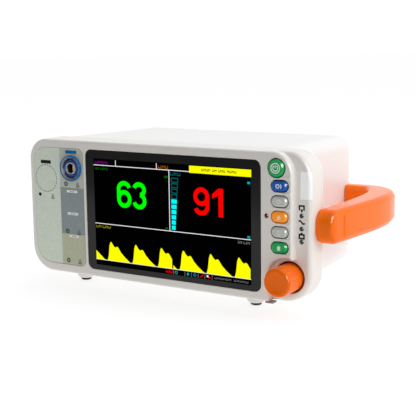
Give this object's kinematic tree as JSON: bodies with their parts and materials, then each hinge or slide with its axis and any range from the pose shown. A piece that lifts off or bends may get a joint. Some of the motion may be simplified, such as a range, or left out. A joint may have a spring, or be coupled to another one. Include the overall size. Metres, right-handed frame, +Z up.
{
  "type": "patient monitor",
  "caption": "Bedside patient monitor: wide stepped front with screen and oximeter socket, column of push keys, rotary knob, feet and side carrying handle.",
  "frame": {"origin": "centre of the object's box at the bottom face, on the plane that the feet stand on", "axes": "+X to the right as the reader faces the screen, -Y towards the reader, +Z up"},
  "size_m": [0.2926, 0.1748, 0.1247],
  "materials": {
    "bezel_plastic": "moulded greige plastic, fine texture",
    "housing_plastic": "moulded warm white plastic, fine texture",
    "seal_rubber": "soft dark rubber",
    "label_sheet": "printed polyester sheet, coloured zones",
    "window_glass": "clear window over a dark display",
    "display_black": "dark display with lit traces and numbers",
    "mask_black": "matt black print",
    "sheet_steel": "zinc plated sheet",
    "screw_steel": "zinc plated",
    "collar_plastic": "satin blue-grey plastic",
    "socket_plastic": "light grey plastic",
    "black_plastic": "black moulded plastic",
    "key_green": "satin green",
    "key_blue": "satin blue",
    "key_grey": "satin grey",
    "key_orange": "satin orange",
    "silicone_white": "silicone",
    "board_green": "solder mask over glass laminate",
    "lamp_red": "translucent lens",
    "lamp_green": "translucent lens, unlit",
    "alarm_lens": "translucent pale lens",
    "encoder_metal": "die cast",
    "contact_brass": "turned",
    "orange_plastic": "moulded orange plastic",
    "foot_rubber": "matt black rubber",
    "mount_aluminium": "bead blasted",
    "module_metal": "vented case",
    "battery_wrap": "shrink wrap",
    "speaker_black": "paper cone in a steel frame",
    "terminal_plastic": "light grey plastic",
    "port_metal": "plated shield",
    "rating_foil": "blank silver label"
  },
  "bodies": {
    "case": {"front_bezel": "bezel_plastic", "seam_gasket": "seal_rubber", "rear_housing": "housing_plastic", "rating_plate": "rating_foil", "case_screw_1": "screw_steel", "case_screw_2": "screw_steel", "case_screw_3": "screw_steel", "case_screw_4": "screw_steel", "screen_glass": "window_glass", "screen_mask": "mask_black", "lcd_panel": "display_black", "lcd_bracket": "sheet_steel", "sensor_overlay": "label_sheet", "spo2_collar": "collar_plastic", "spo2_socket": "socket_plastic", "spo2_contacts": "black_plastic", "spo2_board": "board_green", "key_mat": "silicone_white", "key_board": "board_green", "fault_lamp": "lamp_red", "display_lamp": "lamp_green", "mains_lamp": "lamp_green", "battery_lamp": "lamp_green", "alarm_lamp": "alarm_lens", "alarm_board": "board_green", "encoder_body": "encoder_metal", "carrying_handle": "orange_plastic", "handle_screw_front": "screw_steel", "handle_screw_back": "screw_steel", "chassis": "sheet_steel", "main_board": "board_green", "power_supply": "module_metal", "battery_pack": "battery_wrap", "speaker": "speaker_black", "terminal_plate": "terminal_plastic", "mains_inlet": "black_plastic", "ground_post": "contact_brass", "network_port": "port_metal", "nurse_call_port": "port_metal", "foot_front_left": "foot_rubber", "foot_front_right": "foot_rubber", "foot_back_left": "foot_rubber", "foot_back_right": "foot_rubber", "front_bumper": "foot_rubber", "battery_cover": "housing_plastic", "battery_screw_1": "screw_steel", "battery_screw_2": "screw_steel", "mount_plate": "mount_aluminium"},
    "power_key_body": {"power_key": "key_green"},
    "settings_key_body": {"settings_key": "key_blue"},
    "upper_grey_key_body": {"upper_grey_key": "key_grey"},
    "alarm_key_body": {"alarm_key": "key_orange"},
    "lower_grey_key_body": {"lower_grey_key": "key_grey"},
    "start_key_body": {"start_key": "key_green"},
    "encoder_push": {"encoder_plunger": "contact_brass"},
    "encoder_rotor": {"encoder_shaft": "screw_steel", "encoder_knob": "orange_plastic"},
    "fuse_drawer_body": {"fuse_drawer": "black_plastic"}
  },
  "joints": [
    {"name": "power_key_press", "type": "slide", "parent": "case", "child": "power_key_body", "axis": [0, 1, 0], "range_m": [0, 0.0012], "stiffness_N_per_m": 800},
    {"name": "settings_key_press", "type": "slide", "parent": "case", "child": "settings_key_body", "axis": [0, 1, 0], "range_m": [0, 0.0012], "stiffness_N_per_m": 800},
    {"name": "upper_grey_key_press", "type": "slide", "parent": "case", "child": "upper_grey_key_body", "axis": [0, 1, 0], "range_m": [0, 0.0012], "stiffness_N_per_m": 800},
    {"name": "alarm_key_press", "type": "slide", "parent": "case", "child": "alarm_key_body", "axis": [0, 1, 0], "range_m": [0, 0.0012], "stiffness_N_per_m": 800},
    {"name": "lower_grey_key_press", "type": "slide", "parent": "case", "child": "lower_grey_key_body", "axis": [0, 1, 0], "range_m": [0, 0.0012], "stiffness_N_per_m": 800},
    {"name": "start_key_press", "type": "slide", "parent": "case", "child": "start_key_body", "axis": [0, 1, 0], "range_m": [0, 0.0012], "stiffness_N_per_m": 800},
    {"name": "knob_push", "type": "slide", "parent": "case", "child": "encoder_push", "axis": [0, 1, 0], "range_m": [0, 0.0005], "stiffness_N_per_m": 3000},
    {"name": "knob_turn", "type": "hinge", "parent": "encoder_push", "child": "encoder_rotor", "pos_m": [0.10777, -0.07215, 0.0278], "axis": [0, 1, 0], "continuous": true},
    {"name": "fuse_drawer_pull", "type": "slide", "parent": "case", "child": "fuse_drawer_body", "axis": [0, 1, 0], "range_m": [0, 0.018]}
  ]
}
